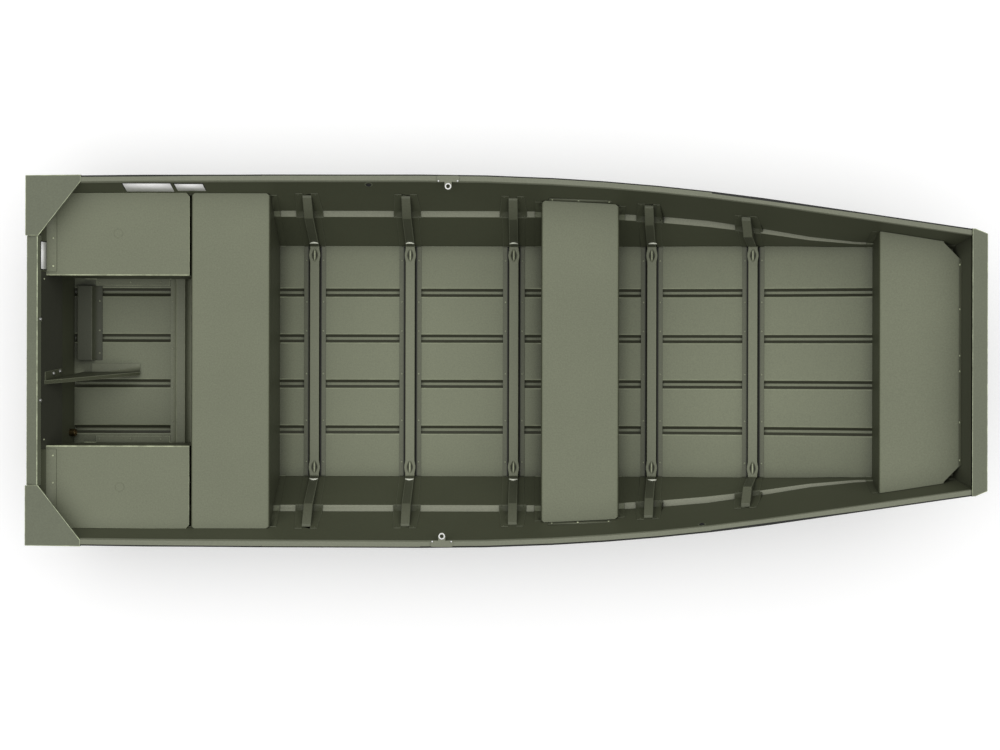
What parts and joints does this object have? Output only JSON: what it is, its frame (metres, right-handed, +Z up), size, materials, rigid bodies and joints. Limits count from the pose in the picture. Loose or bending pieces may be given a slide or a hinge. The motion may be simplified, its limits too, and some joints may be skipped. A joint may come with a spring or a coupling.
{
  "type": "flat-bottomed aluminium jon boat",
  "caption": "Open flat-bottomed riveted sheet boat with a square bow, cross benches, a bow deck and a raked transom for a small outboard motor.",
  "frame": {"origin": "on the floor under the middle of the boat's overall box, on the centre line", "axes": "+X towards the bow, +Y to port, +Z up"},
  "size_m": [3.63, 1.415, 0.511],
  "materials": {
    "hull_paint": "satin olive green paint on sheet aluminium, scuffed",
    "seat_paint": "satin olive green paint with fine texture",
    "gunwale_paint": "satin olive green paint, worn bright at the edges",
    "transom_board": "plywood painted olive green",
    "zinc_fittings": "zinc plated, lightly brushed",
    "black_rubber": "matt black rubber",
    "drain_brass": "dull brass"
  },
  "bodies": {
    "root": {"aft_bench": "seat_paint", "bilge_channel": "hull_paint", "bilge_rib": "hull_paint", "bottom_panel": "hull_paint", "bow_cap": "gunwale_paint", "bow_deck": "seat_paint", "bow_eye": "zinc_fittings", "bow_panel": "hull_paint", "box_angle_port": "seat_paint", "box_angle_starboard": "seat_paint", "chine_rail_port": "hull_paint", "chine_rail_starboard": "hull_paint", "corner_cap_port": "gunwale_paint", "corner_cap_starboard": "gunwale_paint", "drain_tube": "drain_brass", "floor_rib_1": "hull_paint", "floor_rib_2": "hull_paint", "floor_rib_3": "hull_paint", "floor_rib_4": "hull_paint", "floor_rib_5": "hull_paint", "grommet_port": "black_rubber", "grommet_starboard": "black_rubber", "gunwale_port": "gunwale_paint", "gunwale_starboard": "gunwale_paint", "mid_bench": "seat_paint", "oarlock_socket_port": "zinc_fittings", "oarlock_socket_starboard": "zinc_fittings", "side_panel_port": "hull_paint", "side_panel_starboard": "hull_paint", "side_rib_port_1": "hull_paint", "side_rib_port_2": "hull_paint", "side_rib_port_3": "hull_paint", "side_rib_port_4": "hull_paint", "side_rib_port_5": "hull_paint", "side_rib_starboard_1": "hull_paint", "side_rib_starboard_2": "hull_paint", "side_rib_starboard_3": "hull_paint", "side_rib_starboard_4": "hull_paint", "side_rib_starboard_5": "hull_paint", "stern_box_port": "seat_paint", "stern_box_starboard": "seat_paint", "transom_board": "transom_board", "transom_cap": "gunwale_paint", "transom_knee": "hull_paint", "transom_skin": "hull_paint"}
  },
  "joints": []
}
